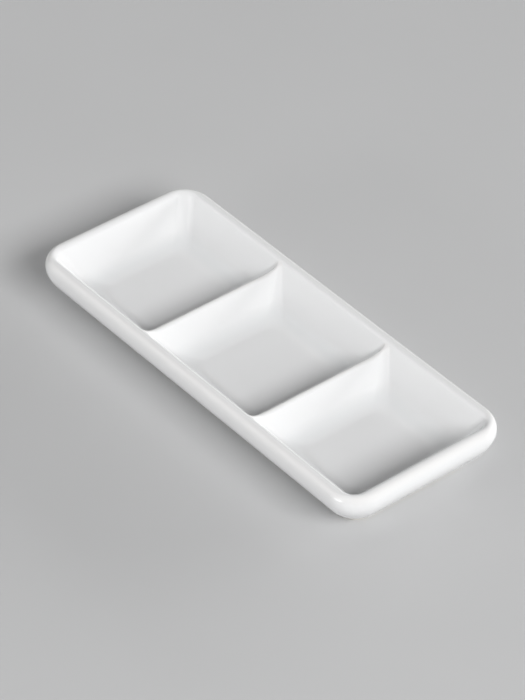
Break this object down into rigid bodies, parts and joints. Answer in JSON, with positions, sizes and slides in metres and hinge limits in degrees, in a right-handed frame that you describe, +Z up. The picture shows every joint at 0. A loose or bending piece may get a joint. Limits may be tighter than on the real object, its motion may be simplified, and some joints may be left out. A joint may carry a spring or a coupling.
{
  "type": "divided serving bowl",
  "caption": "Long shallow serving dish of thick white glazed porcelain with a rounded rim, split into three sections by two low ridges and standing on an unglazed foot ring.",
  "frame": {"origin": "on the table, under the middle of the dish", "axes": "+X along the length, +Y across the width, +Z up"},
  "size_m": [0.225, 0.09, 0.025],
  "materials": {
    "glazed_porcelain": "smooth white gloss glaze",
    "bare_porcelain": "unglazed, finely ground"
  },
  "bodies": {
    "root": {"side_wall": "glazed_porcelain", "dish_floor": "glazed_porcelain", "left_divider": "glazed_porcelain", "right_divider": "glazed_porcelain", "foot_ring": "bare_porcelain"}
  },
  "joints": []
}
